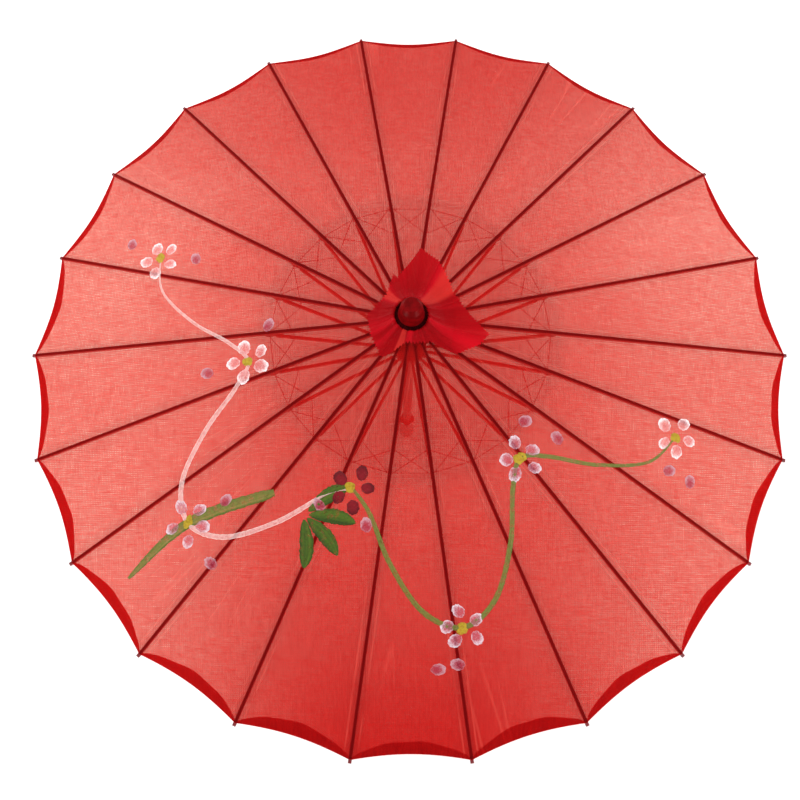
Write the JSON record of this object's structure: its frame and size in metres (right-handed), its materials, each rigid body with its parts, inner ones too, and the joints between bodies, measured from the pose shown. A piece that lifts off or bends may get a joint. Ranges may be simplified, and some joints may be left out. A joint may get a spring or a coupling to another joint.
{
  "type": "parasol",
  "caption": "Round cloth parasol with split bamboo ribs, a sliding runner on a slim wooden pole, a laced frame, a cloth cap under a turned finial, and a plain grip.",
  "frame": {"origin": "centre of the grip's flat end, on the pole's axis", "axes": "+Z along the pole, from the grip towards the finial; +X along the first rib"},
  "size_m": [0.821, 0.8132, 0.55],
  "materials": {
    "bamboo": "stained and varnished split bamboo",
    "pole_wood": "red stained wood, satin varnish",
    "grip_wood": "dark red lacquered wood",
    "ring_wood": "turned and slotted wood, dark red stain",
    "lacquer": "glossy dark red lacquer",
    "pin_brass": "drawn brass pin",
    "wire": "bright drawn steel wire",
    "spring_steel": "spring steel leaf",
    "canopy_fabric": "sheer plain-weave coral fabric with painted flowers",
    "cap_fabric": "sheer bright red fabric with pinked edges",
    "thread": "twisted dark red thread"
  },
  "bodies": {
    "shaft": {"pole": "pole_wood", "grip": "grip_wood", "finial": "lacquer", "top_hub": "ring_wood", "hub_pin": "pin_brass", "hub_wire": "wire", "cap_cloth": "cap_fabric", "cap_tie": "wire", "catch_pin": "pin_brass", "canopy": "canopy_fabric", "lace_thread": "thread"},
    "rib_01": {"rib_01": "bamboo"},
    "rib_02": {"rib_02": "bamboo"},
    "rib_03": {"rib_03": "bamboo"},
    "rib_04": {"rib_04": "bamboo"},
    "rib_05": {"rib_05": "bamboo"},
    "rib_06": {"rib_06": "bamboo"},
    "rib_07": {"rib_07": "bamboo"},
    "rib_08": {"rib_08": "bamboo"},
    "rib_09": {"rib_09": "bamboo"},
    "rib_10": {"rib_10": "bamboo"},
    "rib_11": {"rib_11": "bamboo"},
    "rib_12": {"rib_12": "bamboo"},
    "rib_13": {"rib_13": "bamboo"},
    "rib_14": {"rib_14": "bamboo"},
    "rib_15": {"rib_15": "bamboo"},
    "rib_16": {"rib_16": "bamboo"},
    "rib_17": {"rib_17": "bamboo"},
    "rib_18": {"rib_18": "bamboo"},
    "rib_19": {"rib_19": "bamboo"},
    "rib_20": {"rib_20": "bamboo"},
    "rib_21": {"rib_21": "bamboo"},
    "rib_22": {"rib_22": "bamboo"},
    "stretcher_01": {"stretcher_01": "bamboo"},
    "stretcher_02": {"stretcher_02": "bamboo"},
    "stretcher_03": {"stretcher_03": "bamboo"},
    "stretcher_04": {"stretcher_04": "bamboo"},
    "stretcher_05": {"stretcher_05": "bamboo"},
    "stretcher_06": {"stretcher_06": "bamboo"},
    "stretcher_07": {"stretcher_07": "bamboo"},
    "stretcher_08": {"stretcher_08": "bamboo"},
    "stretcher_09": {"stretcher_09": "bamboo"},
    "stretcher_10": {"stretcher_10": "bamboo"},
    "stretcher_11": {"stretcher_11": "bamboo"},
    "stretcher_12": {"stretcher_12": "bamboo"},
    "stretcher_13": {"stretcher_13": "bamboo"},
    "stretcher_14": {"stretcher_14": "bamboo"},
    "stretcher_15": {"stretcher_15": "bamboo"},
    "stretcher_16": {"stretcher_16": "bamboo"},
    "stretcher_17": {"stretcher_17": "bamboo"},
    "stretcher_18": {"stretcher_18": "bamboo"},
    "stretcher_19": {"stretcher_19": "bamboo"},
    "stretcher_20": {"stretcher_20": "bamboo"},
    "stretcher_21": {"stretcher_21": "bamboo"},
    "stretcher_22": {"stretcher_22": "bamboo"},
    "runner": {"runner": "ring_wood", "runner_wire": "wire"},
    "catch": {"catch_spring": "spring_steel"}
  },
  "joints": [
    {"name": "canopy_fold", "type": "hinge", "parent": "shaft", "child": "rib_01", "pos_m": [0.0135, 0, 0.51], "axis": [0, 1, 0], "range_deg": [0, 70.7], "deforming": ["canopy", "lace_thread", "cap_cloth", "catch_spring"]},
    {"name": "rib_02_fold", "type": "hinge", "parent": "shaft", "child": "rib_02", "pos_m": [0.01295, 0.0038, 0.51], "axis": [-0.2817, 0.9595, 0], "range_deg": [0, 70.7]},
    {"name": "rib_03_fold", "type": "hinge", "parent": "shaft", "child": "rib_03", "pos_m": [0.01136, 0.0073, 0.51], "axis": [-0.5406, 0.8413, 0], "range_deg": [0, 70.7]},
    {"name": "rib_04_fold", "type": "hinge", "parent": "shaft", "child": "rib_04", "pos_m": [0.00884, 0.0102, 0.51], "axis": [-0.7557, 0.6549, 0], "range_deg": [0, 70.7]},
    {"name": "rib_05_fold", "type": "hinge", "parent": "shaft", "child": "rib_05", "pos_m": [0.00561, 0.01228, 0.51], "axis": [-0.9096, 0.4154, 0], "range_deg": [0, 70.7]},
    {"name": "rib_06_fold", "type": "hinge", "parent": "shaft", "child": "rib_06", "pos_m": [0.00192, 0.01336, 0.51], "axis": [-0.9898, 0.1423, 0], "range_deg": [0, 70.7]},
    {"name": "rib_07_fold", "type": "hinge", "parent": "shaft", "child": "rib_07", "pos_m": [-0.00192, 0.01336, 0.51], "axis": [-0.9898, -0.1423, 0], "range_deg": [0, 70.7]},
    {"name": "rib_08_fold", "type": "hinge", "parent": "shaft", "child": "rib_08", "pos_m": [-0.00561, 0.01228, 0.51], "axis": [-0.9096, -0.4154, 0], "range_deg": [0, 70.7]},
    {"name": "rib_09_fold", "type": "hinge", "parent": "shaft", "child": "rib_09", "pos_m": [-0.00884, 0.0102, 0.51], "axis": [-0.7557, -0.6549, 0], "range_deg": [0, 70.7]},
    {"name": "rib_10_fold", "type": "hinge", "parent": "shaft", "child": "rib_10", "pos_m": [-0.01136, 0.0073, 0.51], "axis": [-0.5406, -0.8413, 0], "range_deg": [0, 70.7]},
    {"name": "rib_11_fold", "type": "hinge", "parent": "shaft", "child": "rib_11", "pos_m": [-0.01295, 0.0038, 0.51], "axis": [-0.2817, -0.9595, 0], "range_deg": [0, 70.7]},
    {"name": "rib_12_fold", "type": "hinge", "parent": "shaft", "child": "rib_12", "pos_m": [-0.0135, 0, 0.51], "axis": [0, -1, 0], "range_deg": [0, 70.7]},
    {"name": "rib_13_fold", "type": "hinge", "parent": "shaft", "child": "rib_13", "pos_m": [-0.01295, -0.0038, 0.51], "axis": [0.2817, -0.9595, 0], "range_deg": [0, 70.7]},
    {"name": "rib_14_fold", "type": "hinge", "parent": "shaft", "child": "rib_14", "pos_m": [-0.01136, -0.0073, 0.51], "axis": [0.5406, -0.8413, 0], "range_deg": [0, 70.7]},
    {"name": "rib_15_fold", "type": "hinge", "parent": "shaft", "child": "rib_15", "pos_m": [-0.00884, -0.0102, 0.51], "axis": [0.7557, -0.6549, 0], "range_deg": [0, 70.7]},
    {"name": "rib_16_fold", "type": "hinge", "parent": "shaft", "child": "rib_16", "pos_m": [-0.00561, -0.01228, 0.51], "axis": [0.9096, -0.4154, 0], "range_deg": [0, 70.7]},
    {"name": "rib_17_fold", "type": "hinge", "parent": "shaft", "child": "rib_17", "pos_m": [-0.00192, -0.01336, 0.51], "axis": [0.9898, -0.1423, 0], "range_deg": [0, 70.7]},
    {"name": "rib_18_fold", "type": "hinge", "parent": "shaft", "child": "rib_18", "pos_m": [0.00192, -0.01336, 0.51], "axis": [0.9898, 0.1423, 0], "range_deg": [0, 70.7]},
    {"name": "rib_19_fold", "type": "hinge", "parent": "shaft", "child": "rib_19", "pos_m": [0.00561, -0.01228, 0.51], "axis": [0.9096, 0.4154, 0], "range_deg": [0, 70.7]},
    {"name": "rib_20_fold", "type": "hinge", "parent": "shaft", "child": "rib_20", "pos_m": [0.00884, -0.0102, 0.51], "axis": [0.7557, 0.6549, 0], "range_deg": [0, 70.7]},
    {"name": "rib_21_fold", "type": "hinge", "parent": "shaft", "child": "rib_21", "pos_m": [0.01136, -0.0073, 0.51], "axis": [0.5406, 0.8413, 0], "range_deg": [0, 70.7]},
    {"name": "rib_22_fold", "type": "hinge", "parent": "shaft", "child": "rib_22", "pos_m": [0.01295, -0.0038, 0.51], "axis": [0.2817, 0.9595, 0], "range_deg": [0, 70.7]},
    {"name": "stretcher_01_turn", "type": "hinge", "parent": "rib_01", "child": "stretcher_01", "pos_m": [0.14, 0, 0.46973], "axis": [0, 1, 0], "range_deg": [-141.4, 0]},
    {"name": "stretcher_02_turn", "type": "hinge", "parent": "rib_02", "child": "stretcher_02", "pos_m": [0.13433, 0.03944, 0.46973], "axis": [-0.2817, 0.9595, 0], "range_deg": [-141.4, 0]},
    {"name": "stretcher_03_turn", "type": "hinge", "parent": "rib_03", "child": "stretcher_03", "pos_m": [0.11778, 0.07569, 0.46973], "axis": [-0.5406, 0.8413, 0], "range_deg": [-141.4, 0]},
    {"name": "stretcher_04_turn", "type": "hinge", "parent": "rib_04", "child": "stretcher_04", "pos_m": [0.09168, 0.1058, 0.46973], "axis": [-0.7557, 0.6549, 0], "range_deg": [-141.4, 0]},
    {"name": "stretcher_05_turn", "type": "hinge", "parent": "rib_05", "child": "stretcher_05", "pos_m": [0.05816, 0.12735, 0.46973], "axis": [-0.9096, 0.4154, 0], "range_deg": [-141.4, 0]},
    {"name": "stretcher_06_turn", "type": "hinge", "parent": "rib_06", "child": "stretcher_06", "pos_m": [0.01992, 0.13858, 0.46973], "axis": [-0.9898, 0.1423, 0], "range_deg": [-141.4, 0]},
    {"name": "stretcher_07_turn", "type": "hinge", "parent": "rib_07", "child": "stretcher_07", "pos_m": [-0.01992, 0.13858, 0.46973], "axis": [-0.9898, -0.1423, 0], "range_deg": [-141.4, 0]},
    {"name": "stretcher_08_turn", "type": "hinge", "parent": "rib_08", "child": "stretcher_08", "pos_m": [-0.05816, 0.12735, 0.46973], "axis": [-0.9096, -0.4154, 0], "range_deg": [-141.4, 0]},
    {"name": "stretcher_09_turn", "type": "hinge", "parent": "rib_09", "child": "stretcher_09", "pos_m": [-0.09168, 0.1058, 0.46973], "axis": [-0.7557, -0.6549, 0], "range_deg": [-141.4, 0]},
    {"name": "stretcher_10_turn", "type": "hinge", "parent": "rib_10", "child": "stretcher_10", "pos_m": [-0.11778, 0.07569, 0.46973], "axis": [-0.5406, -0.8413, 0], "range_deg": [-141.4, 0]},
    {"name": "stretcher_11_turn", "type": "hinge", "parent": "rib_11", "child": "stretcher_11", "pos_m": [-0.13433, 0.03944, 0.46973], "axis": [-0.2817, -0.9595, 0], "range_deg": [-141.4, 0]},
    {"name": "stretcher_12_turn", "type": "hinge", "parent": "rib_12", "child": "stretcher_12", "pos_m": [-0.14, 0, 0.46973], "axis": [0, -1, 0], "range_deg": [-141.4, 0]},
    {"name": "stretcher_13_turn", "type": "hinge", "parent": "rib_13", "child": "stretcher_13", "pos_m": [-0.13433, -0.03944, 0.46973], "axis": [0.2817, -0.9595, 0], "range_deg": [-141.4, 0]},
    {"name": "stretcher_14_turn", "type": "hinge", "parent": "rib_14", "child": "stretcher_14", "pos_m": [-0.11778, -0.07569, 0.46973], "axis": [0.5406, -0.8413, 0], "range_deg": [-141.4, 0]},
    {"name": "stretcher_15_turn", "type": "hinge", "parent": "rib_15", "child": "stretcher_15", "pos_m": [-0.09168, -0.1058, 0.46973], "axis": [0.7557, -0.6549, 0], "range_deg": [-141.4, 0]},
    {"name": "stretcher_16_turn", "type": "hinge", "parent": "rib_16", "child": "stretcher_16", "pos_m": [-0.05816, -0.12735, 0.46973], "axis": [0.9096, -0.4154, 0], "range_deg": [-141.4, 0]},
    {"name": "stretcher_17_turn", "type": "hinge", "parent": "rib_17", "child": "stretcher_17", "pos_m": [-0.01992, -0.13858, 0.46973], "axis": [0.9898, -0.1423, 0], "range_deg": [-141.4, 0]},
    {"name": "stretcher_18_turn", "type": "hinge", "parent": "rib_18", "child": "stretcher_18", "pos_m": [0.01992, -0.13858, 0.46973], "axis": [0.9898, 0.1423, 0], "range_deg": [-141.4, 0]},
    {"name": "stretcher_19_turn", "type": "hinge", "parent": "rib_19", "child": "stretcher_19", "pos_m": [0.05816, -0.12735, 0.46973], "axis": [0.9096, 0.4154, 0], "range_deg": [-141.4, 0]},
    {"name": "stretcher_20_turn", "type": "hinge", "parent": "rib_20", "child": "stretcher_20", "pos_m": [0.09168, -0.1058, 0.46973], "axis": [0.7557, 0.6549, 0], "range_deg": [-141.4, 0]},
    {"name": "stretcher_21_turn", "type": "hinge", "parent": "rib_21", "child": "stretcher_21", "pos_m": [0.11778, -0.07569, 0.46973], "axis": [0.5406, 0.8413, 0], "range_deg": [-141.4, 0]},
    {"name": "stretcher_22_turn", "type": "hinge", "parent": "rib_22", "child": "stretcher_22", "pos_m": [0.13433, -0.03944, 0.46973], "axis": [0.2817, 0.9595, 0], "range_deg": [-141.4, 0]},
    {"name": "runner_turn", "type": "hinge", "parent": "stretcher_01", "child": "runner", "pos_m": [0.0135, 0, 0.42946], "axis": [0, 1, 0], "range_deg": [0, 70.7]},
    {"name": "catch_press", "type": "hinge", "parent": "shaft", "child": "catch", "pos_m": [0.002, 0, 0.36316], "axis": [0, -1, 0], "range_deg": [0, 5], "stiffness_Nm_per_rad": 0.4}
  ],
  "couplings": [
    {"joint": "rib_02_fold", "follows": "canopy_fold", "ratio": 1},
    {"joint": "rib_03_fold", "follows": "canopy_fold", "ratio": 1},
    {"joint": "rib_04_fold", "follows": "canopy_fold", "ratio": 1},
    {"joint": "rib_05_fold", "follows": "canopy_fold", "ratio": 1},
    {"joint": "rib_06_fold", "follows": "canopy_fold", "ratio": 1},
    {"joint": "rib_07_fold", "follows": "canopy_fold", "ratio": 1},
    {"joint": "rib_08_fold", "follows": "canopy_fold", "ratio": 1},
    {"joint": "rib_09_fold", "follows": "canopy_fold", "ratio": 1},
    {"joint": "rib_10_fold", "follows": "canopy_fold", "ratio": 1},
    {"joint": "rib_11_fold", "follows": "canopy_fold", "ratio": 1},
    {"joint": "rib_12_fold", "follows": "canopy_fold", "ratio": 1},
    {"joint": "rib_13_fold", "follows": "canopy_fold", "ratio": 1},
    {"joint": "rib_14_fold", "follows": "canopy_fold", "ratio": 1},
    {"joint": "rib_15_fold", "follows": "canopy_fold", "ratio": 1},
    {"joint": "rib_16_fold", "follows": "canopy_fold", "ratio": 1},
    {"joint": "rib_17_fold", "follows": "canopy_fold", "ratio": 1},
    {"joint": "rib_18_fold", "follows": "canopy_fold", "ratio": 1},
    {"joint": "rib_19_fold", "follows": "canopy_fold", "ratio": 1},
    {"joint": "rib_20_fold", "follows": "canopy_fold", "ratio": 1},
    {"joint": "rib_21_fold", "follows": "canopy_fold", "ratio": 1},
    {"joint": "rib_22_fold", "follows": "canopy_fold", "ratio": 1},
    {"joint": "stretcher_01_turn", "follows": "canopy_fold", "ratio": -2},
    {"joint": "stretcher_02_turn", "follows": "canopy_fold", "ratio": -2},
    {"joint": "stretcher_03_turn", "follows": "canopy_fold", "ratio": -2},
    {"joint": "stretcher_04_turn", "follows": "canopy_fold", "ratio": -2},
    {"joint": "stretcher_05_turn", "follows": "canopy_fold", "ratio": -2},
    {"joint": "stretcher_06_turn", "follows": "canopy_fold", "ratio": -2},
    {"joint": "stretcher_07_turn", "follows": "canopy_fold", "ratio": -2},
    {"joint": "stretcher_08_turn", "follows": "canopy_fold", "ratio": -2},
    {"joint": "stretcher_09_turn", "follows": "canopy_fold", "ratio": -2},
    {"joint": "stretcher_10_turn", "follows": "canopy_fold", "ratio": -2},
    {"joint": "stretcher_11_turn", "follows": "canopy_fold", "ratio": -2},
    {"joint": "stretcher_12_turn", "follows": "canopy_fold", "ratio": -2},
    {"joint": "stretcher_13_turn", "follows": "canopy_fold", "ratio": -2},
    {"joint": "stretcher_14_turn", "follows": "canopy_fold", "ratio": -2},
    {"joint": "stretcher_15_turn", "follows": "canopy_fold", "ratio": -2},
    {"joint": "stretcher_16_turn", "follows": "canopy_fold", "ratio": -2},
    {"joint": "stretcher_17_turn", "follows": "canopy_fold", "ratio": -2},
    {"joint": "stretcher_18_turn", "follows": "canopy_fold", "ratio": -2},
    {"joint": "stretcher_19_turn", "follows": "canopy_fold", "ratio": -2},
    {"joint": "stretcher_20_turn", "follows": "canopy_fold", "ratio": -2},
    {"joint": "stretcher_21_turn", "follows": "canopy_fold", "ratio": -2},
    {"joint": "stretcher_22_turn", "follows": "canopy_fold", "ratio": -2},
    {"joint": "runner_turn", "follows": "canopy_fold", "ratio": 1}
  ]
}
